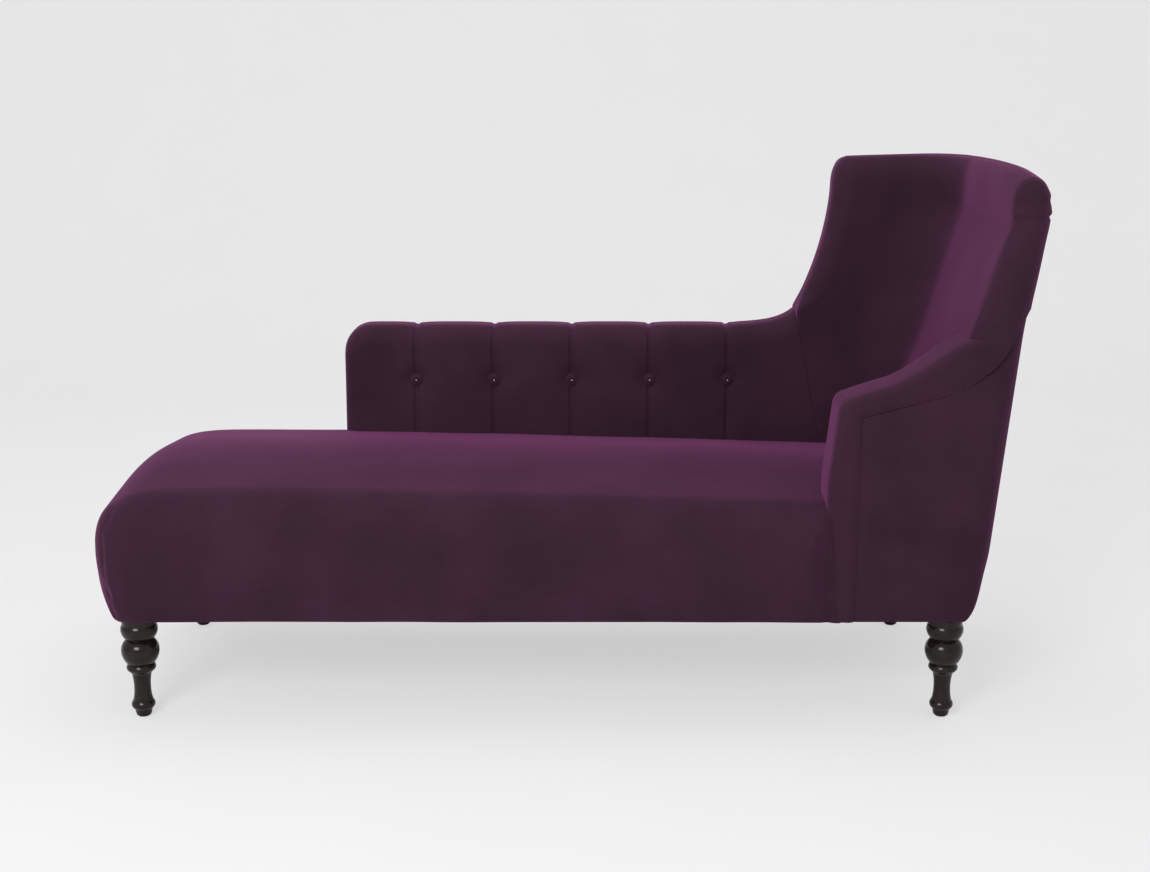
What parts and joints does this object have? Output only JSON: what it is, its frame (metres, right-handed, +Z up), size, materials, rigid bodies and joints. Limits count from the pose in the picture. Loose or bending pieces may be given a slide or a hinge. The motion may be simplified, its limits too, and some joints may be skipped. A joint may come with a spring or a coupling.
{
  "type": "chaise longue",
  "caption": "Chaise longue in dark aubergine velvet with a tall wrapped head end, a channelled and buttoned low back, one short arm and turned dark legs.",
  "frame": {"origin": "on the floor, under the middle of the overall box", "axes": "+X towards the tall head end, +Y towards the side with the low back, +Z up"},
  "size_m": [1.7734, 0.6545, 1.0447],
  "materials": {
    "dowel_wood": "fluted beech",
    "dust_cloth": "non-woven cloth",
    "foam": "open cell foam",
    "frame_wood": "sawn beech",
    "glide_nylon": "moulded nylon",
    "hessian": "coarse woven jute",
    "leg_wood": "dark gloss lacquer over turned hardwood",
    "plated_steel": "zinc plated",
    "plywood": "sanded plywood",
    "spring_steel": "blued spring wire",
    "twine": "waxed twine",
    "velvet": "short pile velvet, aubergine",
    "wadding": "fibre wadding",
    "webbing": "woven elastic webbing"
  },
  "bodies": {
    "root": {"arm_board": "plywood", "arm_cover": "velvet", "arm_foam": "foam", "arm_post": "frame_wood", "arm_tack_rail": "frame_wood", "crest_rail": "frame_wood", "dust_cover": "dust_cloth", "far_back_side": "plywood", "far_edge_roll": "foam", "far_foot_leg": "leg_wood", "far_foot_leg_block": "frame_wood", "far_head_leg": "leg_wood", "far_head_leg_block": "frame_wood", "far_rail": "frame_wood", "far_spring_batten": "frame_wood", "foot_edge_roll": "foam", "foot_rail": "frame_wood", "foot_stretcher": "frame_wood", "frame_dowels": "dowel_wood", "frame_screws": "plated_steel", "hanger_bolts": "plated_steel", "head_back_cover": "velvet", "head_back_foam": "foam", "head_back_webbing": "webbing", "head_rail": "frame_wood", "head_stretcher": "frame_wood", "head_tack_rail": "frame_wood", "leg_glides": "glide_nylon", "leg_inserts": "plated_steel", "low_back_cover": "velvet", "low_back_foam": "foam", "low_back_foot_post": "frame_wood", "low_back_mid_post": "frame_wood", "low_back_tack_rails": "frame_wood", "low_back_top_rail": "frame_wood", "low_back_webbing": "webbing", "near_back_side": "plywood", "near_edge_roll": "foam", "near_foot_leg": "leg_wood", "near_foot_leg_block": "frame_wood", "near_head_leg": "leg_wood", "near_head_leg_block": "frame_wood", "near_rail": "frame_wood", "near_spring_batten": "frame_wood", "outside_arm_panel": "velvet", "outside_back_panel": "velvet", "outside_far_panel": "velvet", "seat_cover": "velvet", "seat_foam": "foam", "seat_hessian": "hessian", "seat_springs": "spring_steel", "seat_wadding": "wadding", "spring_clips": "plated_steel", "spring_tie_wires": "spring_steel", "tuft_buttons": "velvet", "tuft_ties": "twine", "wing_side": "plywood"}
  },
  "joints": []
}
